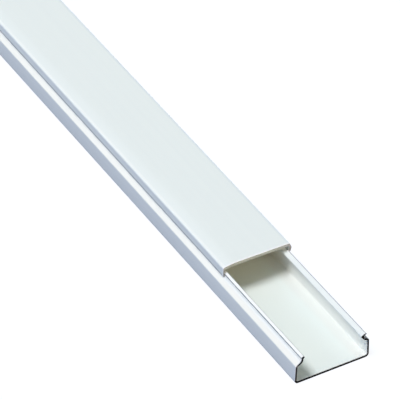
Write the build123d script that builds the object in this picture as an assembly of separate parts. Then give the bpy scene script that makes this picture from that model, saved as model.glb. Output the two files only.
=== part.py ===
from build123d import *
import math
import os

os.makedirs("parts", exist_ok=True)

# Cable trunking in rigid white plastic, cut to a stock length.
# It has two extruded pieces: a channel that is fixed to the wall by its flat back, and a lid
# that clips over the two lips of the channel and can be slid along them.
# X runs across the channel, Y along it away from the near end, and Z up out of its back.
# The origin is the middle of the back, half way along. All sizes are in millimetres.
# A point of a section is written as u, the distance inwards from its own side of the back,
# and z, the height above the back. Angles are in degrees above the way inwards.

# Driving dimensions of the channel
stock_length = 2000.0
channel_width = 60.0
channel_wall = 1.5
wall_height = 15.4
left_wall_lean = 0.55
right_wall_lean = 0.1
back_corner_radius = 2.8
shoulder_corner_radius = 1.0

# Left lip: the shoulder bends up into a neck, whose bead overhangs the clip groove
left_shoulder_angle = 28.0
left_shoulder_wall = 1.15
neck_inset = 5.55
neck_bend_radius = 4.5
neck_inside_radius = 3.6
groove_height = 0.45
groove_depth = 0.65
bead_rise = 0.2
bead_length = 2.2
bead_angle = 20.0
bead_fall_length = 1.1
bead_fall_angle = 38.0
bead_flare_angle = 45.0
bead_peak_radius = 0.5
bead_nose_radius = 0.12

# Right lip: the shoulder steepens into a stem that folds back outwards over it, so that the
# fold makes a vee open to the side
right_shoulder_angle = 34.0
stem_angle = 50.0
stem_wall = 1.8
stem_bend_radius = 4.0
vee_inset = 4.75
vee_rise = 4.55
vee_bottom_radius = 0.35
vee_lip_length = 2.7
vee_lip_angle = 24.0
vee_lip_wall = 0.85
vee_crest_radius = 1.1

# Top of the lid, highest near its left edge
lid_setback = 104.7
lid_wall = 2.4
lid_headroom = 3.4
crest_inset = 15.0
left_crown_drop = 1.2
right_crown_drop = 0.52

# Left flange: its inner side follows the bend of the neck and ends in the barb
left_flange_wall = 0.85
left_foot_rise = 0.7
left_corner_radius = 1.6

# Right flange: it bulges outwards, then hooks in under the folded lip
side_angle = 66.5
side_wall = 1.9
hook_angle = 105.5
hook_wall = 1.35
hook_gap = 0.35
bulge_rise = 3.6
bulge_radius = 2.5
heel_rise = 0.3
heel_radius = 0.6
nose_wall = 1.15
right_corner_radius = 0.5

# Small edges, and the running gap between the lid and the channel wherever they seat
inner_corner_radius = 0.6
edge_break = 0.25
clip_clearance = 0.15

half_width = channel_width / 2
near_end = -stock_length / 2


def heading(angle):
    """The unit vector at this angle."""
    turn = math.radians(angle)
    return Vector(math.cos(turn), math.sin(turn))


def through(point, angle):
    """The line through a point at this angle."""
    return point, point + heading(angle)


def upright(u):
    """The vertical line at u."""
    return through(Vector(u, 0), 90)


def level(z):
    """The level line at z."""
    return through(Vector(0, z), 0)


def beside(line, gap):
    """The line moved sideways by gap, to the left of the way it runs."""
    start, end = line
    along = (end - start).normalized()
    aside = Vector(-along.Y, along.X) * gap
    return start + aside, end + aside


def crossing(first, second):
    """The point where two lines meet, produced as far as needed."""
    start, along = first[0], first[1] - first[0]
    other, across = second[0], second[1] - second[0]
    gap = other - start
    turn = along.X * across.Y - along.Y * across.X
    return start + along * ((gap.X * across.Y - gap.Y * across.X) / turn)


def arc_radius(run, drop):
    """The radius of an arc that starts level and drops by this much over this run."""
    return (run ** 2 + drop ** 2) / (2 * drop)


def arc_drop(run, radius):
    """The drop over this run of an arc that starts level."""
    return radius - math.sqrt(radius ** 2 - run ** 2)


def on_left(point):
    """A point of the left side, put into the whole section."""
    return Vector(point.X - half_width, point.Y)


def on_right(point):
    """A point of the right side, put into the whole section."""
    return Vector(half_width - point.X, point.Y)


def rounded(section, corners, radius):
    """The section with the vertex nearest to each of these corners rounded."""
    chosen = [section.vertices().sort_by_distance(corner)[0] for corner in corners]
    return fillet(chosen, radius)


def extruded(section, start):
    """The section carried from y = start along one stock length."""
    end_plane = Plane(origin=(0, start, 0), x_dir=(1, 0, 0), z_dir=(0, -1, 0))
    return extrude(end_plane * section, amount=stock_length, dir=(0, 1, 0))


# Both walls lean inwards from the end of their back corner's arc, where the channel is widest
back = level(0)
left_wall_top = Vector(left_wall_lean, wall_height)
right_wall_top = Vector(right_wall_lean, wall_height)
left_wall = (Vector(0, back_corner_radius), left_wall_top)
right_wall = (Vector(0, back_corner_radius), right_wall_top)
left_foot = crossing(left_wall, back)
right_foot = crossing(right_wall, back)

# Left lip
left_shoulder = through(left_wall_top, left_shoulder_angle)
neck = upright(neck_inset)
neck_corner = crossing(left_shoulder, neck)
neck_bend_reach = neck_bend_radius * math.tan(math.radians((90 - left_shoulder_angle) / 2))
neck_bend_top = neck_corner + Vector(0, neck_bend_reach)
neck_bend_centre = neck_bend_top - Vector(neck_bend_radius, 0)
neck_top = neck_bend_top + Vector(0, groove_height)
bead_nose = neck_top + Vector(-groove_depth, bead_rise)
bead_peak = bead_nose + heading(bead_angle) * bead_length
bead_tip = bead_peak + heading(-bead_fall_angle) * bead_fall_length

# Right lip
right_shoulder = through(right_wall_top, right_shoulder_angle)
vee_bottom = Vector(vee_inset, wall_height + vee_rise)
vee_tip = vee_bottom + heading(180 - vee_lip_angle) * vee_lip_length
vee_face = (vee_bottom, vee_tip)
vee_back = beside(vee_face, -vee_lip_wall)
stem = through(vee_bottom, stem_angle)
stem_foot = crossing(right_shoulder, stem)


def channel_section():
    """The channel: a flat back, two walls, two shoulders and the two unlike lips."""
    floor = level(channel_wall)

    left_wall_inside = beside(left_wall, -channel_wall)
    left_shoulder_inside = beside(left_shoulder, -left_shoulder_wall)
    neck_inside = beside(neck, -left_shoulder_wall)
    bead_root = crossing(neck_inside, through(bead_tip, bead_flare_angle))
    neck_inside_corner = crossing(left_shoulder_inside, neck_inside)
    left_inside_top = crossing(left_wall_inside, left_shoulder_inside)
    left_inside_foot = crossing(left_wall_inside, floor)

    right_wall_inside = beside(right_wall, -channel_wall)
    right_shoulder_inside = beside(right_shoulder, -channel_wall)
    stem_inside = beside(stem, -stem_wall)
    right_inside_foot = crossing(right_wall_inside, floor)
    right_inside_top = crossing(right_wall_inside, right_shoulder_inside)
    stem_inside_foot = crossing(right_shoulder_inside, stem_inside)
    vee_crest = crossing(stem_inside, vee_back)

    left_side = [
        left_foot,
        left_wall_top,
        neck_corner,
        neck_top,
        bead_nose,
        bead_peak,
        bead_tip,
        bead_root,
        neck_inside_corner,
        left_inside_top,
        left_inside_foot,
    ]
    right_side = [
        right_inside_foot,
        right_inside_top,
        stem_inside_foot,
        vee_crest,
        vee_back[1],
        vee_tip,
        vee_bottom,
        stem_foot,
        right_wall_top,
        right_foot,
    ]
    outline = [on_left(point) for point in left_side]
    outline += [on_right(point) for point in right_side]
    section = make_face(Polyline(*outline, close=True))

    inside_feet = [on_left(left_inside_foot), on_right(right_inside_foot)]
    wall_tops = [on_left(left_wall_top), on_right(right_wall_top)]
    inside_tops = [on_left(left_inside_top), on_right(right_inside_top), on_left(bead_root)]
    stem_bends = [on_right(stem_foot), on_right(stem_inside_foot)]
    lip_edges = [on_left(bead_tip), on_right(vee_tip), on_right(vee_back[1])]
    section = rounded(section, [on_left(left_foot), on_right(right_foot)], back_corner_radius)
    section = rounded(section, inside_feet, back_corner_radius - channel_wall)
    section = rounded(section, wall_tops, shoulder_corner_radius)
    section = rounded(section, inside_tops, inner_corner_radius)
    section = rounded(section, [on_left(neck_corner)], neck_bend_radius)
    section = rounded(section, [on_left(neck_inside_corner)], neck_inside_radius)
    section = rounded(section, stem_bends, stem_bend_radius)
    section = rounded(section, [on_right(vee_crest)], vee_crest_radius)
    section = rounded(section, [on_right(vee_bottom)], vee_bottom_radius)
    section = rounded(section, [on_left(bead_peak)], bead_peak_radius)
    section = rounded(section, [on_left(bead_nose)], bead_nose_radius)
    return rounded(section, lip_edges, edge_break)


def lid_section():
    """The lid: a crowned top, a barbed flange on the left and a hooked flange on the right."""
    top = max(bead_peak.Y, vee_back[1].Y) + lid_headroom + lid_wall
    crest = Vector(crest_inset, top)
    under_crest = crest - Vector(0, lid_wall)

    # Left flange: its foot stands off the shoulder and its barb reaches into the clip groove
    flange_inside = upright(bead_nose.X - clip_clearance)
    flange_outside = beside(flange_inside, left_flange_wall)
    left_corner = crossing(flange_outside, level(top - left_crown_drop))
    foot_level = level(neck_corner.Y + left_foot_rise)
    foot_outside = crossing(flange_outside, foot_level)
    seat_radius = neck_bend_radius - clip_clearance
    seat_top = neck_bend_centre + Vector(seat_radius, 0)
    foot_depth = seat_top.Y - foot_outside.Y
    foot_inside = seat_top - Vector(arc_drop(foot_depth, seat_radius), foot_depth)
    groove_roof = beside((neck_top, bead_nose), clip_clearance)
    barb_high = crossing(groove_roof, upright(seat_top.X))
    barb_heel = crossing(groove_roof, flange_inside)
    left_radius = arc_radius(crest_inset - left_corner.X, left_crown_drop)
    left_reach = crest_inset - barb_heel.X
    left_under = Vector(barb_heel.X, under_crest.Y - arc_drop(left_reach, left_radius - lid_wall))

    # Right flange: it stands a small gap outside the folded lip, and its nose seats in the vee
    hook_inside = beside(through(vee_tip, hook_angle), hook_gap)
    hook_outside = beside(hook_inside, hook_wall)
    heel = crossing(hook_outside, level(vee_bottom.Y + heel_rise))
    bulge = crossing(hook_outside, level(vee_bottom.Y + bulge_rise))
    side = through(bulge, side_angle)
    side_inside = beside(side, -side_wall)
    bulge_inside = crossing(hook_inside, side_inside)
    vee_seat = beside(vee_face, clip_clearance)
    nose_tip = crossing(beside(stem, clip_clearance), vee_seat)
    nose_foot = nose_tip - heading(stem_angle) * nose_wall
    hook_root = crossing(vee_seat, hook_inside)
    right_corner = crossing(side, level(top - right_crown_drop))
    right_radius = arc_radius(channel_width - crest_inset - right_corner.X, right_crown_drop)
    right_under_inset = crossing(side_inside, level(right_corner.Y - lid_wall)).X
    right_reach = channel_width - crest_inset - right_under_inset
    right_under_level = under_crest.Y - arc_drop(right_reach, right_radius - lid_wall)
    right_under = Vector(right_under_inset, right_under_level)

    left_points = [left_corner, foot_outside, foot_inside]
    barb_points = [seat_top, barb_high, barb_heel, left_under]
    right_points = [
        right_under,
        bulge_inside,
        hook_root,
        nose_tip,
        nose_foot,
        heel,
        bulge,
        right_corner,
    ]
    outline = Curve() + [
        TangentArc(on_left(crest), on_left(left_corner), tangent=(-1, 0)),
        Polyline(*[on_left(point) for point in left_points]),
        TangentArc(on_left(seat_top), on_left(foot_inside), tangent=(0, -1)),
        Polyline(*[on_left(point) for point in barb_points]),
        TangentArc(on_left(under_crest), on_left(left_under), tangent=(-1, 0)),
        TangentArc(on_left(under_crest), on_right(right_under), tangent=(1, 0)),
        Polyline(*[on_right(point) for point in right_points]),
        TangentArc(on_left(crest), on_right(right_corner), tangent=(1, 0)),
    ]
    section = make_face(outline)

    inner_corners = [on_left(left_under), on_right(right_under), on_right(hook_root)]
    foot_edges = [on_left(foot_outside), on_left(foot_inside), on_right(nose_tip)]
    section = rounded(section, [on_left(left_corner)], left_corner_radius)
    section = rounded(section, [on_right(right_corner)], right_corner_radius)
    section = rounded(section, [on_right(bulge)], bulge_radius)
    section = rounded(section, [on_right(bulge_inside)], bulge_radius - hook_wall)
    section = rounded(section, inner_corners, inner_corner_radius)
    section = rounded(section, [on_right(heel)], heel_radius)
    return rounded(section, foot_edges, edge_break)


base_channel = extruded(channel_section(), near_end)
snap_lid = extruded(lid_section(), near_end + lid_setback)

export_step(base_channel, "parts/base_channel.step")
export_step(snap_lid, "parts/snap_lid.step")
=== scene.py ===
import math
from typing import NamedTuple

import bpy
import numpy as np
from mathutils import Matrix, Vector


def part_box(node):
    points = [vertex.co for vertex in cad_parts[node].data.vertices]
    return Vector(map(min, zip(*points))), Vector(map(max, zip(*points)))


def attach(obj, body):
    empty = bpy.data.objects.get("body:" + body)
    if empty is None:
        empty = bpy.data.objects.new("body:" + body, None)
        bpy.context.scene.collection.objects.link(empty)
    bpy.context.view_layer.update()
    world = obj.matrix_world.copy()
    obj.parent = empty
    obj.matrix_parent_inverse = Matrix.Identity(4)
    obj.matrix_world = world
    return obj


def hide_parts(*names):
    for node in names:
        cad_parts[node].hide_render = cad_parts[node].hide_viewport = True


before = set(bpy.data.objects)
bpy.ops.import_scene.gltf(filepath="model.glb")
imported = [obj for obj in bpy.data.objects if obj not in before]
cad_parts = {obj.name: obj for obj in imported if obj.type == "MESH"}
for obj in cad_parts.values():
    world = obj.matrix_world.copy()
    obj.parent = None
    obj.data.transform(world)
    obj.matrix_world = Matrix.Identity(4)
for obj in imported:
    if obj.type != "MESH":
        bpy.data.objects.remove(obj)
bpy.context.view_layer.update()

# A length of white cable trunking: a channel whose back lies on the floor, and a lid that
# clips over the two lips of the channel and is slid back from its near end.
# Everything is in metres. X runs across, Y along the length away from the near end, Z up.
# A section point is written as (u, z): u is the distance inwards from its own side of the
# back, and z is the height above the back.
MM = 0.001

channel_low, channel_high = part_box("base_channel")
lid_low, lid_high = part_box("snap_lid")
channel_ends = (channel_low.y, channel_high.y)
lid_ends = (lid_low.y, lid_high.y)
lid_top = lid_high.z

# The channel's walls
channel_width = 60.0 * MM
half_width = channel_width / 2
channel_wall = 1.5 * MM
wall_height = 15.4 * MM
left_wall_lean = 0.55 * MM
right_wall_lean = 0.1 * MM
back_corner_radius = 2.8 * MM
shoulder_corner_radius = 1.0 * MM

# The left lip and its groove
left_shoulder_angle = 28.0
left_shoulder_wall = 1.15 * MM
neck_inset = 5.55 * MM
neck_bend_radius = 4.5 * MM
neck_inside_radius = 3.6 * MM
groove_height = 0.45 * MM
groove_depth = 0.65 * MM
bead_rise = 0.2 * MM
bead_length = 2.2 * MM
bead_angle = 20.0
bead_fall_length = 1.1 * MM
bead_fall_angle = 38.0
bead_flare_angle = 45.0
bead_peak_radius = 0.5 * MM
bead_nose_radius = 0.12 * MM

# The right lip
right_shoulder_angle = 34.0
stem_angle = 50.0
stem_wall = 1.8 * MM
stem_bend_radius = 4.0 * MM
vee_inset = 4.75 * MM
vee_rise = 4.55 * MM
vee_bottom_radius = 0.35 * MM
vee_lip_length = 2.7 * MM
vee_lip_angle = 24.0
vee_lip_wall = 0.85 * MM
vee_crest_radius = 1.1 * MM

# The lid
lid_wall = 2.4 * MM
crest_inset = 15.0 * MM
left_crown_drop = 1.2 * MM
right_crown_drop = 0.52 * MM
left_flange_wall = 0.85 * MM
left_foot_rise = 0.7 * MM
left_corner_radius = 1.6 * MM
side_angle = 66.5
side_wall = 1.9 * MM
hook_angle = 105.5
hook_wall = 1.35 * MM
hook_gap = 0.35 * MM
bulge_rise = 3.6 * MM
bulge_radius = 2.5 * MM
heel_rise = 0.3 * MM
heel_radius = 0.6 * MM
nose_wall = 1.15 * MM
right_corner_radius = 0.5 * MM
inner_corner_radius = 0.6 * MM
edge_break = 0.25 * MM
clip_clearance = 0.15 * MM

# The sawn ends
sawn_bevel = 0.05 * MM
# The dark bands of painted shade along the cut edges
cut_edge_shade_width = 0.9 * MM
cut_edge_shade_fade = 1.0 * MM
# The brighter rims along the sawn ends, which are a painted highlight
channel_rim_width = 1.3 * MM
lid_rim_width = 2.4 * MM

# How finely the surfaces are drawn
arc_steps = 8
crown_steps = 12
station_gap = 25 * MM
same_point_gap = 0.0001 * MM
sharp_edge_angle = 28.0

# The two whites of each piece, and the two tones of each piece's sawn ends, which are painted
# shade: near black on the channel and khaki on the lid
channel_pale = (0.835, 0.87, 0.84)
channel_shade = (0.82, 0.86, 0.83)
channel_cut_dark = (0.004, 0.004, 0.004)
channel_cut_light = (0.012, 0.011, 0.011)
lid_pale = (0.84, 0.895, 0.86)
lid_shade = (0.825, 0.88, 0.85)
lid_cut_dark = (0.51, 0.54, 0.47)
lid_cut_light = (0.64, 0.70, 0.66)

# Tones of the strips, most of them painted light or shade, of the painted highlight at the sawn
# rims and of the painted shade along the cut edges
neck_light_white = (0.96, 0.97, 0.91)
shoulder_light_white = (0.89, 0.89, 0.81)
painted_highlight_white = (0.97, 0.98, 0.97)
cut_edge_shade_black = (0.01, 0.01, 0.01)
flange_grey = (0.34, 0.36, 0.38)
hook_grey = (0.57, 0.60, 0.61)
underside_shade_cream = (0.86, 0.86, 0.64)
wall_cut_grey = (0.06, 0.06, 0.06)
vee_blue = (0.50, 0.57, 0.64)
wall_light_white = (0.95, 0.965, 0.915)
floor_white = (0.80, 0.872, 0.835)
crown_highlight_white = (0.92, 0.95, 0.90)
side_shade_white = (0.77, 0.84, 0.84)
corner_shade_white = (0.76, 0.79, 0.75)
painted_shade_grey = (0.36, 0.38, 0.38)
groove_shade_grey = (0.10, 0.11, 0.11)

# Textures, as lumps a metre along X, Y and Z
streak_lumps = (220.0, 1.5, 220.0)
cloud_lumps = (9.0, 3.0, 9.0)
die_line_lumps = (1400.0, 2.0, 1400.0)
grain_lumps = (2600.0, 2600.0, 2600.0)
saw_mark_lumps = (500.0, 40.0, 3200.0)
die_line_depth = 0.012 * MM
grain_depth = 0.006 * MM
saw_mark_depth = 0.05 * MM

# The part of a noise's range over which a tone or a shine changes
streak_spread = (0.1, 0.42)
cloud_spread = (0.3, 0.7)
saw_mark_spread = (0.3, 0.7)
patch_spread = (0.2, 0.8)
thinnest_cover = 0.85

# How the plastic shines
plastic_ior = 1.53
satin_roughness = (0.36, 0.46)
sawn_roughness = 0.8
sawn_specular = 0.15

# The studio
floor_reach = 20.0
floor_drop = 0.2 * MM
floor_blue_grey = (0.11, 0.14, 0.22, 1.0)
sky_blue = (0.55, 0.85, 1.0, 1.0)
sky_strength = 0.22
plain_white = (1.0, 1.0, 1.0, 1.0)


def heading(angle):
    """The unit vector at this many degrees above the way inwards: the angle's cosine along u
    and its sine along z."""
    return np.array([math.cos(math.radians(angle)), math.sin(math.radians(angle))])


def through(point, angle):
    """The line through a point at this angle."""
    return point, point + heading(angle)


def upright(u):
    """The vertical line at u."""
    return through(np.array([u, 0.0]), 90)


def level(z):
    """The level line at z."""
    return through(np.array([0.0, z]), 0)


def beside(line, gap):
    """The line moved sideways by gap to its left: each end plus gap times the turned unit
    direction."""
    start, end = line
    along = (end - start) / np.linalg.norm(end - start)
    aside = gap * np.array([-along[1], along[0]])
    return start + aside, end + aside


def crossing(first, second):
    """The point where two lines meet, from the two by two equations of their ends."""
    sides = np.column_stack([first[1] - first[0], second[0] - second[1]])
    along, _ = np.linalg.solve(sides, second[0] - first[0])
    return first[0] + along * (first[1] - first[0])


def side_directions(points):
    """The unit vectors of the side that comes into each point of a closed outline and of the
    side that leaves it."""
    into = points - np.roll(points, 1, axis=0)
    into /= np.linalg.norm(into, axis=1, keepdims=True)
    return into, np.roll(into, -1, axis=0)


def rounded(corners):
    """The closed outline through corners (x, z, radius). Each corner becomes an arc: its centre
    lies on the bisector at radius / cos(half the turn), and the arc runs between the two tangent
    points. A corner of radius nought stays one point."""
    corners = np.array(corners)
    points, radii = corners[:, :2], corners[:, 2]
    into, away = side_directions(points)
    turn = np.arctan2(into[:, 0] * away[:, 1] - into[:, 1] * away[:, 0], (into * away).sum(axis=1))
    side = np.sign(turn)
    inward = np.column_stack([-into[:, 1], into[:, 0]]) * side[:, None]
    start = points - into * (radii * np.tan(np.abs(turn) / 2))[:, None]
    centre = start + inward * radii[:, None]
    swept = turn[:, None] * np.linspace(0, 1, arc_steps + 1)
    spoke = -inward * radii[:, None]
    arc_x = centre[:, :1] + spoke[:, :1] * np.cos(swept) - spoke[:, 1:] * np.sin(swept)
    arc_z = centre[:, 1:] + spoke[:, :1] * np.sin(swept) + spoke[:, 1:] * np.cos(swept)
    outline = np.stack([arc_x, arc_z], axis=2).reshape(-1, 2)
    apart = np.linalg.norm(outline - np.roll(outline, 1, axis=0), axis=1)
    return outline[apart > same_point_gap]


def on_left(point, radius=0.0):
    """A point of the left side as a corner of the whole section: x is u less half the width."""
    return point[0] - half_width, point[1], radius


def on_right(point, radius=0.0):
    """A point of the right side as a corner of the whole section: x is half the width less u."""
    return half_width - point[0], point[1], radius


# The walls lean inwards from the end of the back corners' arcs
widest = np.array([0.0, back_corner_radius])
left_wall = (widest, np.array([left_wall_lean, wall_height]))
right_wall = (widest, np.array([right_wall_lean, wall_height]))

# The lips, which the lid is seated on
left_shoulder = through(left_wall[1], left_shoulder_angle)
neck = upright(neck_inset)
neck_corner = crossing(left_shoulder, neck)
neck_bend_reach = neck_bend_radius * math.tan(math.radians((90 - left_shoulder_angle) / 2))
neck_bend_top = neck_corner + (0, neck_bend_reach)
neck_bend_centre = neck_bend_top - (neck_bend_radius, 0)
neck_top = neck_bend_top + (0, groove_height)
bead_nose = neck_top + (-groove_depth, bead_rise)
bead_peak = bead_nose + heading(bead_angle) * bead_length
bead_tip = bead_peak + heading(-bead_fall_angle) * bead_fall_length
right_shoulder = through(right_wall[1], right_shoulder_angle)
vee_bottom = np.array([vee_inset, wall_height + vee_rise])
vee_tip = vee_bottom + heading(180 - vee_lip_angle) * vee_lip_length
vee_face = (vee_bottom, vee_tip)
vee_back = beside(vee_face, -vee_lip_wall)
stem = through(vee_bottom, stem_angle)


def channel_outline():
    """The channel's section, walked up the left side from the back to the lip, over the bead,
    back down the inside, across the floor and up over the folded right lip."""
    back_level, floor_level = level(0.0), level(channel_wall)
    left_inside = beside(left_wall, -channel_wall)
    left_shoulder_inside = beside(left_shoulder, -left_shoulder_wall)
    neck_inside = beside(neck, -left_shoulder_wall)
    right_inside = beside(right_wall, -channel_wall)
    right_shoulder_inside = beside(right_shoulder, -channel_wall)
    stem_inside = beside(stem, -stem_wall)
    inner_foot_radius = back_corner_radius - channel_wall
    return rounded([
        on_left(crossing(left_wall, back_level), back_corner_radius),
        on_left(left_wall[1], shoulder_corner_radius),
        on_left(neck_corner, neck_bend_radius),
        on_left(neck_top),
        on_left(bead_nose, bead_nose_radius),
        on_left(bead_peak, bead_peak_radius),
        on_left(bead_tip, edge_break),
        on_left(crossing(neck_inside, through(bead_tip, bead_flare_angle)), inner_corner_radius),
        on_left(crossing(left_shoulder_inside, neck_inside), neck_inside_radius),
        on_left(crossing(left_inside, left_shoulder_inside), inner_corner_radius),
        on_left(crossing(left_inside, floor_level), inner_foot_radius),
        on_right(crossing(right_inside, floor_level), inner_foot_radius),
        on_right(crossing(right_inside, right_shoulder_inside), inner_corner_radius),
        on_right(crossing(right_shoulder_inside, stem_inside), stem_bend_radius),
        on_right(crossing(stem_inside, vee_back), vee_crest_radius),
        on_right(vee_back[1], edge_break),
        on_right(vee_tip, edge_break),
        on_right(vee_bottom, vee_bottom_radius),
        on_right(crossing(right_shoulder, stem), stem_bend_radius),
        on_right(right_wall[1], shoulder_corner_radius),
        on_right(crossing(right_wall, back_level), back_corner_radius),
    ])


def arc_radius(run, drop):
    """The radius of an arc that starts level and drops by this much over this run: the sum of
    their squares over twice the drop."""
    return (run ** 2 + drop ** 2) / (2 * drop)


def arc_points(start_u, end_u, top, radius):
    """Points of an arc that leaves the level top at start_u: its drop at a distance d from
    there is radius minus the root of radius squared less d squared."""
    u = np.linspace(start_u, end_u, crown_steps + 1)
    drop = radius - np.sqrt(radius ** 2 - (start_u - u) ** 2)
    return np.column_stack([u, top - drop])


def seat_points(depth, radius):
    """Points of the arc that keeps inside the neck's bend, from level with its centre down to
    this depth: the centre plus radius times the cosine and less radius times the sine."""
    angle = np.linspace(0, math.asin(depth / radius), arc_steps + 1)
    return neck_bend_centre + radius * np.column_stack([np.cos(angle), -np.sin(angle)])


def lid_left_side():
    """The corners of the lid's left side: from its crest down the crown and the outside of the
    barbed flange, up its seat on the neck, and back under the top."""
    underside = lid_top - lid_wall
    flange_inside = upright(bead_nose[0] - clip_clearance)
    flange_outside = beside(flange_inside, left_flange_wall)
    corner = crossing(flange_outside, level(lid_top - left_crown_drop))
    foot = crossing(flange_outside, level(neck_corner[1] + left_foot_rise))
    seat = seat_points(neck_bend_centre[1] - foot[1], neck_bend_radius - clip_clearance)
    groove_roof = beside((neck_top, bead_nose), clip_clearance)
    barb_heel = crossing(groove_roof, flange_inside)
    radius = arc_radius(crest_inset - corner[0], left_crown_drop)
    crown = arc_points(crest_inset, corner[0], lid_top, radius)
    under = arc_points(crest_inset, barb_heel[0], underside, radius - lid_wall)[::-1]

    side = [on_left(point) for point in crown[:-1]]
    side += [
        on_left(corner, left_corner_radius),
        on_left(foot, edge_break),
    ]
    side += [on_left(point) for point in seat[::-1]]
    side += [
        on_left(crossing(groove_roof, upright(seat[0, 0]))),
        on_left(barb_heel),
        on_left(under[0], inner_corner_radius),
    ]
    side += [on_left(point) for point in under[1:]]
    return side


def lid_right_side():
    """The corners of the lid's right side: out under the top, down the inside of the hooked
    flange, round its nose and bulge, and up the side and the crown to the crest."""
    underside = lid_top - lid_wall
    far_crest = channel_width - crest_inset
    hook_inside = beside(through(vee_tip, hook_angle), hook_gap)
    hook_outside = beside(hook_inside, hook_wall)
    heel = crossing(hook_outside, level(vee_bottom[1] + heel_rise))
    bulge = crossing(hook_outside, level(vee_bottom[1] + bulge_rise))
    upper_side = through(bulge, side_angle)
    upper_side_inside = beside(upper_side, -side_wall)
    corner = crossing(upper_side, level(lid_top - right_crown_drop))
    vee_seat = beside(vee_face, clip_clearance)
    nose_tip = crossing(beside(stem, clip_clearance), vee_seat)
    nose_foot = nose_tip - nose_wall * heading(stem_angle)
    radius = arc_radius(far_crest - corner[0], right_crown_drop)
    crown = arc_points(far_crest, corner[0], lid_top, radius)[::-1]
    under_inset = crossing(upper_side_inside, level(corner[1] - lid_wall))[0]
    under = arc_points(far_crest, under_inset, underside, radius - lid_wall)

    side = [on_right(point) for point in under[1:-1]]
    side += [
        on_right(under[-1], inner_corner_radius),
        on_right(crossing(hook_inside, upper_side_inside), bulge_radius - hook_wall),
        on_right(crossing(vee_seat, hook_inside), inner_corner_radius),
        on_right(nose_tip, edge_break),
        on_right(nose_foot),
        on_right(heel, heel_radius),
        on_right(bulge, bulge_radius),
        on_right(corner, right_corner_radius),
    ]
    side += [on_right(point) for point in crown[1:-1]]
    return side


def lid_outline():
    """The lid's section, walked from its crest round the barbed left flange, under the top,
    round the hooked right flange and up to the crest again."""
    return rounded(lid_left_side() + lid_right_side())


def shrunk(outline, depth):
    """The outline moved inwards by depth: each point goes along the mean of its two side
    normals, by depth over the cosine of half its turn, which is taken as a half at least."""
    into, away = side_directions(outline)
    mean = into + away
    mean /= np.linalg.norm(mean, axis=1, keepdims=True)
    behind = np.roll(outline, 1, axis=0)
    area = (behind[:, 0] * outline[:, 1] - outline[:, 0] * behind[:, 1]).sum()
    turned = np.column_stack([-mean[:, 1], mean[:, 0]]) * np.sign(area)
    cosine = np.clip((mean * into).sum(axis=1), 0.5, 1)
    return outline + turned * (depth / cosine)[:, None]


def extrusion(name, outline, ends):
    """The outline carried along Y as a grid of stations by outline points. The first and last
    ring are shrunk by the sawn bevel, and one flat face closes each end. The skin takes the
    first material and the two end faces take the second."""
    start, end = ends
    spans = round((end - start) / station_gap)
    sawn_ring = shrunk(outline, sawn_bevel)
    rings = [(start, sawn_ring)]
    rings += [(y, outline) for y in np.linspace(start + sawn_bevel, end - sawn_bevel, spans + 1)]
    rings += [(end, sawn_ring)]
    count = len(outline)
    points = np.concatenate([
        np.column_stack([ring[:, 0], np.full(count, y), ring[:, 1]])
        for y, ring in rings
    ])
    row, column = np.meshgrid(np.arange(len(rings) - 1), np.arange(count), indexing="ij")
    here = row * count + column
    beyond = row * count + (column + 1) % count
    quads = np.stack([here, beyond, beyond + count, here + count], axis=2).reshape(-1, 4)
    near_cap = list(range(count))[::-1]
    far_cap = list(range(len(points) - count, len(points)))
    mesh = bpy.data.meshes.new(name)
    mesh.from_pydata(points, [], quads.tolist() + [near_cap, far_cap])
    mesh.polygons.foreach_set("use_smooth", [True] * len(quads) + [False, False])
    mesh.polygons.foreach_set("material_index", [0] * len(quads) + [1, 1])
    mesh.update()
    mesh.set_sharp_from_angle(angle=math.radians(sharp_edge_angle))
    piece = bpy.data.objects.new(name, mesh)
    bpy.context.scene.collection.objects.link(piece)
    return piece


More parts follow.
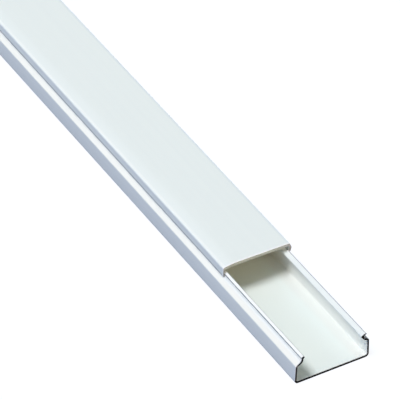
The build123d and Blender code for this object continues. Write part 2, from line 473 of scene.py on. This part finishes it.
class Finish:
    """A new material whose nodes are placed and joined by short calls."""

    # The numbers of a Mix node's colour sockets
    mix_inputs = (6, 7)
    mix_result = 2

    def __init__(self, name):
        self.material = bpy.data.materials.new(name)
        self.material.use_nodes = True
        self.tree = self.material.node_tree
        self.shader = self.tree.nodes["Principled BSDF"]
        self.place = self.node("ShaderNodeTexCoord").outputs["Object"]
        axes = self.node("ShaderNodeSeparateXYZ")
        self.join(self.place, axes.inputs[0])
        self.axis = axes.outputs

    def node(self, kind, **settings):
        """One node with its properties set."""
        made = self.tree.nodes.new(kind)
        for key, value in settings.items():
            setattr(made, key, value)
        return made

    def join(self, source, target):
        """A link from one node's output to another's input."""
        self.tree.links.new(source, target)

    def stretched(self, scale):
        """Object coordinates multiplied by scale."""
        mapping = self.node("ShaderNodeMapping")
        mapping.inputs["Scale"].default_value = scale
        self.join(self.place, mapping.inputs["Vector"])
        return mapping.outputs["Vector"]

    def noise(self, lumps, detail=3.0):
        """Noise from 0 to 1, with this many lumps a metre along each axis."""
        texture = self.node("ShaderNodeTexNoise")
        texture.inputs["Scale"].default_value = 1.0
        texture.inputs["Detail"].default_value = detail
        self.join(self.stretched(lumps), texture.inputs["Vector"])
        return texture.outputs["Fac"]

    def maths(self, operation, first, second=None):
        """One Math node on sockets or plain numbers."""
        made = self.node("ShaderNodeMath", operation=operation)
        for slot, value in enumerate((first, second)):
            if isinstance(value, bpy.types.NodeSocket):
                self.join(value, made.inputs[slot])
            elif value is not None:
                made.inputs[slot].default_value = value
        return made.outputs[0]

    def ranged(self, value, low, high, out_low, out_high):
        """The value's range low to high carried smoothly to out_low to out_high."""
        made = self.node("ShaderNodeMapRange", interpolation_type="SMOOTHSTEP")
        made.inputs["From Min"].default_value = low
        made.inputs["From Max"].default_value = high
        made.inputs["To Min"].default_value = out_low
        made.inputs["To Max"].default_value = out_high
        self.join(value, made.inputs["Value"])
        return made.outputs["Result"]

    def mixed(self, share, first, second):
        """Two colours mixed by a share, each a socket or plain values."""
        made = self.node("ShaderNodeMix", data_type="RGBA")
        self.join(share, made.inputs["Factor"])
        for slot, colour in zip(self.mix_inputs, (first, second)):
            if isinstance(colour, bpy.types.NodeSocket):
                self.join(colour, made.inputs[slot])
            else:
                made.inputs[slot].default_value = (*colour, 1.0)
        return made.outputs[self.mix_result]

    def bump(self, height, depth, below=None):
        """A bump on the shader's normal, with the height from 0 to 1 times this depth in
        metres, laid over another bump where one is given."""
        made = self.node("ShaderNodeBump")
        made.inputs["Distance"].default_value = depth
        made.inputs["Strength"].default_value = 1.0
        self.join(height, made.inputs["Height"])
        if below is not None:
            self.join(below, made.inputs["Normal"])
        self.join(made.outputs["Normal"], self.shader.inputs["Normal"])
        return made.outputs["Normal"]


class Strip(NamedTuple):
    """A strip along the length, mostly painted light or shade: its tone, how strongly it covers,
    its ranges across and in height, and the distance over which its edges fade."""

    tone: tuple
    strength: float
    across: tuple
    heights: tuple
    fade: float


def from_left(start, end):
    """The range across between two distances in millimetres inwards from the left side."""
    return start * MM - half_width, end * MM - half_width


def from_right(start, end):
    """The range across between two distances in millimetres inwards from the right side, the
    greater one first."""
    return half_width - start * MM, half_width - end * MM


def above_back(start, end):
    """The range of heights between two distances in millimetres above the back."""
    return start * MM, end * MM


def end_band(finish, ends, width):
    """1 at a sawn end, falling to 0 at this width from it: the half length less the distance
    from the middle."""
    middle = (ends[0] + ends[1]) / 2
    half_length = (ends[1] - ends[0]) / 2
    from_middle = finish.maths("ABSOLUTE", finish.maths("SUBTRACT", finish.axis["Y"], middle))
    from_end = finish.maths("SUBTRACT", half_length, from_middle)
    return finish.ranged(from_end, 0.0, width, 1.0, 0.0)


def inside(finish, across, heights, fade):
    """1 inside these ranges across and in height, falling smoothly to 0 over the distance fade:
    the product of the four edges."""
    share = None
    for axis, (low, high) in (("X", across), ("Z", heights)):
        for edge, before, after in ((low, 0.0, 1.0), (high, 1.0, 0.0)):
            start, end = edge - fade / 2, edge + fade / 2
            side = finish.ranged(finish.axis[axis], start, end, before, after)
            share = side if share is None else finish.maths("MULTIPLY", share, side)
    return share


def layered(finish, colour, variation, strips):
    """The colour with each strip laid over it, a little unevenly: between its thinnest cover
    and its full strength, as the variation goes."""
    for strip in strips:
        thin = thinnest_cover * strip.strength
        patchy = finish.ranged(variation, *patch_spread, thin, strip.strength)
        covered = inside(finish, strip.across, strip.heights, strip.fade)
        colour = finish.mixed(finish.maths("MULTIPLY", covered, patchy), colour, strip.tone)
    return colour


def white_plastic(name, pale, shade, ends, rim_width, strips, cut_edge_shade_lines=()):
    """Satin white extruded plastic: two close whites in long soft streaks, a brighter rim at each
    sawn end that is a painted highlight, fine die lines along the length and a faint skin grain.
    The strips are bands of tint and of painted light and shade, and the cut edge lines are the
    ranges of height whose cut edge is painted dark as shade."""
    finish = Finish(name)
    streaks = finish.noise(streak_lumps)
    clouds = finish.noise(cloud_lumps)
    share = finish.ranged(finish.maths("MULTIPLY", streaks, clouds), *streak_spread, 0.0, 1.0)
    plain = finish.mixed(share, shade, pale)
    colour = layered(finish, plain, clouds, strips)
    # A painted highlight along each sawn end
    colour = finish.mixed(end_band(finish, ends, rim_width), colour, painted_highlight_white)
    # Painted shade: a dark band along the cut edge at each range of heights
    for heights in cut_edge_shade_lines:
        edge = end_band(finish, ends, cut_edge_shade_width)
        part = inside(finish, (-half_width, half_width), heights, cut_edge_shade_fade)
        colour = finish.mixed(finish.maths("MULTIPLY", edge, part), colour, cut_edge_shade_black)
    roughness = finish.ranged(clouds, *cloud_spread, *satin_roughness)
    finish.join(colour, finish.shader.inputs["Base Color"])
    finish.join(roughness, finish.shader.inputs["Roughness"])
    finish.shader.inputs["IOR"].default_value = plastic_ior
    lined = finish.bump(finish.noise(die_line_lumps, detail=2.0), die_line_depth)
    finish.bump(finish.noise(grain_lumps, detail=2.0), grain_depth, below=lined)
    return finish.material


def sawn_face(name, dark, light, strips):
    """A sawn end: fine level saw marks in two tones of painted shade, the strips of painted shade
    laid over them and a dull rough skin."""
    finish = Finish(name)
    marks = finish.noise(saw_mark_lumps, detail=4.0)
    plain = finish.mixed(finish.ranged(marks, *saw_mark_spread, 0.0, 1.0), dark, light)
    finish.join(layered(finish, plain, marks, strips), finish.shader.inputs["Base Color"])
    finish.shader.inputs["Roughness"].default_value = sawn_roughness
    finish.shader.inputs["Specular IOR Level"].default_value = sawn_specular
    finish.bump(marks, saw_mark_depth)
    return finish.material


def channel_piece():
    """The channel, with its sawn ends painted near black as shade."""
    strips = [
        # The floor
        Strip(floor_white, 1.0, from_left(8.0, 68.0), above_back(-10.0, 10.0), 12.0 * MM),
        # Painted shade in the corner of the floor and the right wall
        Strip(corner_shade_white, 1.0, from_right(10.0, -8.0), above_back(-10.0, 8.0), 8.0 * MM),
        # Painted shade along the foot of the left wall
        Strip(painted_shade_grey, 0.4, from_left(-1.0, 2.5), above_back(0.0, 2.8), 0.6 * MM),
        # Painted light on the right wall
        Strip(wall_light_white, 1.0, from_right(9.0, -1.0), above_back(2.0, 16.5), 1.5 * MM),
        # Painted light on the left shoulder, a little lighter and warmer
        Strip(shoulder_light_white, 1.0, from_left(0.2, 4.5), above_back(15.4, 19.0), 0.8 * MM),
        # Painted light on the bend of the neck
        Strip(neck_light_white, 1.0, from_left(3.8, 5.65), above_back(17.4, 20.3), 0.8 * MM),
        # Painted shade in the groove under the bead
        Strip(groove_shade_grey, 0.75, from_left(4.95, 6.0), above_back(19.8, 21.3), 0.15 * MM),
        # A painted highlight on the top of the bead
        Strip(painted_highlight_white, 0.9, from_left(5.4, 7.1), above_back(20.9, 22.4), 0.4 * MM),
        # Painted shade on the bead's fall to its inner edge
        Strip(painted_shade_grey, 1.0, from_left(7.1, 8.3), above_back(20.9, 21.95), 0.2 * MM),
        # Painted shade along the edge of the folded right lip
        Strip(painted_shade_grey, 0.9, from_right(3.2, 2.0), above_back(21.2, 22.5), 0.3 * MM),
    ]
    end_strips = [
        # The cut of the left wall, painted a lighter dark grey as shade
        Strip(wall_cut_grey, 1.0, from_left(-1.0, 2.3), above_back(3.0, 15.5), 1.0 * MM),
        # The outer half of the stem's cut, painted a bluish grey as shade
        Strip(vee_blue, 0.8, from_right(4.1, 1.4), above_back(17.3, 19.9), 0.7 * MM),
    ]
    # The cut edges of the floor, and of the shoulders and lips, painted dark as shade
    cut_edge_shade_lines = [above_back(-1.0, 2.5), above_back(16.0, 24.0)]
    skin = white_plastic(
        "channel_white",
        channel_pale,
        channel_shade,
        channel_ends,
        channel_rim_width,
        strips,
        cut_edge_shade_lines,
    )
    cut = sawn_face("channel_sawn_end", channel_cut_dark, channel_cut_light, end_strips)
    piece = extrusion("channel_extrusion", channel_outline(), channel_ends)
    piece.data.materials.append(skin)
    piece.data.materials.append(cut)
    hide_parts("base_channel")
    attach(piece, "channel")


def lid_piece():
    """The lid, with its sawn ends painted khaki as shade."""
    strips = [
        # Painted shade along the foot of the left flange
        Strip(painted_shade_grey, 0.8, from_left(3.0, 5.5), above_back(18.0, 20.3), 0.5 * MM),
        # A painted highlight on the left corner of the crown
        Strip(crown_highlight_white, 0.7, from_left(3.0, 6.0), above_back(25.6, 29.0), 0.6 * MM),
        # The underside of the top, painted cream to warm the shade under the lid to olive
        Strip(underside_shade_cream, 1.0, from_left(6.0, 54.0), above_back(20.0, 25.8), 0.5 * MM),
        # Painted shade, darker and bluer, on the right side and its corner
        Strip(side_shade_white, 1.0, from_right(3.2, -1.0), above_back(20.0, 29.0), 2.0 * MM),
    ]
    end_strips = [
        # The cut of the hooked right flange, painted grey as shade
        Strip(hook_grey, 1.0, from_right(6.0, -1.0), above_back(18.0, 29.0), 6.0 * MM),
        # The cut of the barbed left flange, painted a darker grey as shade
        Strip(flange_grey, 0.9, from_left(3.0, 6.0), above_back(18.0, 24.0), 1.5 * MM),
    ]
    skin = white_plastic("lid_white", lid_pale, lid_shade, lid_ends, lid_rim_width, strips)
    cut = sawn_face("lid_sawn_end", lid_cut_dark, lid_cut_light, end_strips)
    piece = extrusion("lid_extrusion", lid_outline(), lid_ends)
    piece.data.materials.append(skin)
    piece.data.materials.append(cut)
    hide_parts("snap_lid")
    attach(piece, "lid")


def whiteness(tree, seen, mirrored):
    """How strongly a surface shows as white: seen to the camera, and mirrored in reflections and
    through clear things. It is the sum of the three kinds of ray, each times its share."""
    paths = tree.nodes.new("ShaderNodeLightPath")
    shares = {"Is Camera Ray": seen, "Is Glossy Ray": mirrored, "Is Transmission Ray": mirrored}
    strength = None
    for ray, share in shares.items():
        part = tree.nodes.new("ShaderNodeMath")
        part.operation = "MULTIPLY_ADD"
        part.inputs[1].default_value = share
        part.inputs[2].default_value = 0.0
        tree.links.new(paths.outputs[ray], part.inputs[0])
        if strength is not None:
            tree.links.new(strength, part.inputs[2])
        strength = part.outputs[0]
    return strength


def floor():
    """A wide level floor just under the back: a dull blue-grey that takes the object's shadow
    and throws little light back, with an even white glow that the camera sees, and that
    reflections and clear things see in part."""
    corners = floor_reach * np.array([[-1, -1], [1, -1], [1, 1], [-1, 1]])
    mesh = bpy.data.meshes.new("studio_floor")
    mesh.from_pydata(np.column_stack([corners, np.full(4, -floor_drop)]), [], [[0, 1, 2, 3]])
    piece = bpy.data.objects.new("studio_floor", mesh)
    bpy.context.scene.collection.objects.link(piece)
    material = bpy.data.materials.new("studio_floor")
    material.use_nodes = True
    tree = material.node_tree
    tree.nodes.clear()
    matt = tree.nodes.new("ShaderNodeBsdfDiffuse")
    matt.inputs["Color"].default_value = floor_blue_grey
    glow = tree.nodes.new("ShaderNodeEmission")
    glow.inputs["Color"].default_value = plain_white
    tree.links.new(whiteness(tree, seen=0.905, mirrored=0.25), glow.inputs["Strength"])
    both = tree.nodes.new("ShaderNodeAddShader")
    tree.links.new(matt.outputs[0], both.inputs[0])
    tree.links.new(glow.outputs[0], both.inputs[1])
    out = tree.nodes.new("ShaderNodeOutputMaterial")
    tree.links.new(both.outputs[0], out.inputs["Surface"])
    mesh.materials.append(material)


def sky():
    """A plain even sky: a soft blue light on the object, white to the camera, and partly white
    in reflections and through clear things."""
    world = bpy.data.worlds.new("studio")
    bpy.context.scene.world = world
    world.use_nodes = True
    tree = world.node_tree
    tree.nodes.clear()
    light = tree.nodes.new("ShaderNodeBackground")
    light.inputs["Color"].default_value = sky_blue
    light.inputs["Strength"].default_value = sky_strength
    white = tree.nodes.new("ShaderNodeBackground")
    white.inputs["Color"].default_value = plain_white
    white.inputs["Strength"].default_value = 1.0
    either = tree.nodes.new("ShaderNodeMixShader")
    tree.links.new(whiteness(tree, seen=1.0, mirrored=0.15), either.inputs[0])
    tree.links.new(light.outputs[0], either.inputs[1])
    tree.links.new(white.outputs[0], either.inputs[2])
    out = tree.nodes.new("ShaderNodeOutputWorld")
    tree.links.new(either.outputs[0], out.inputs["Surface"])


def sun(name, towards, strength, spread, colour):
    """A soft even lamp that shines from the direction towards, a vector up to it, and whose
    disc spans this many degrees."""
    data = bpy.data.lights.new(name, "SUN")
    data.energy = strength
    data.angle = math.radians(spread)
    data.color = colour
    lamp = bpy.data.objects.new(name, data)
    lamp.rotation_euler = Vector(towards).to_track_quat("Z", "Y").to_euler()
    bpy.context.scene.collection.objects.link(lamp)


def camera():
    """The photograph's view: a long lens from the front left, looking down at the open end."""
    azimuth = math.radians(-29.90)
    elevation = math.radians(38.49)
    distance = 2.6160
    aim = Vector((-0.00201, -0.82062, 0.02730))
    back = Vector((
        math.sin(azimuth) * math.cos(elevation),
        -math.cos(azimuth) * math.cos(elevation),
        math.sin(elevation),
    ))
    data = bpy.data.cameras.new("camera")
    data.sensor_width = 36.0
    data.lens = 327.0
    data.clip_end = 100.0
    eye = bpy.data.objects.new("camera", data)
    eye.location = aim + back * distance
    eye.rotation_euler = back.to_track_quat("Z", "Y").to_euler()
    bpy.context.scene.collection.objects.link(eye)
    bpy.context.scene.camera = eye


camera()
channel_piece()
lid_piece()
floor()
sky()
sun("key", towards=(-0.41, 0.04, 1.0), strength=2.42, spread=23.0, colour=(0.98, 0.965, 1.0))
sun("left_fill", towards=(-1.0, 0.0, 0.25), strength=0.64, spread=60.0, colour=(0.39, 0.52, 1.0))
sun("front_fill", towards=(0.0, -1.0, 0.35), strength=1.25, spread=60.0, colour=(1.0, 0.66, 0.38))
bpy.context.scene.view_settings.view_transform = "Standard"
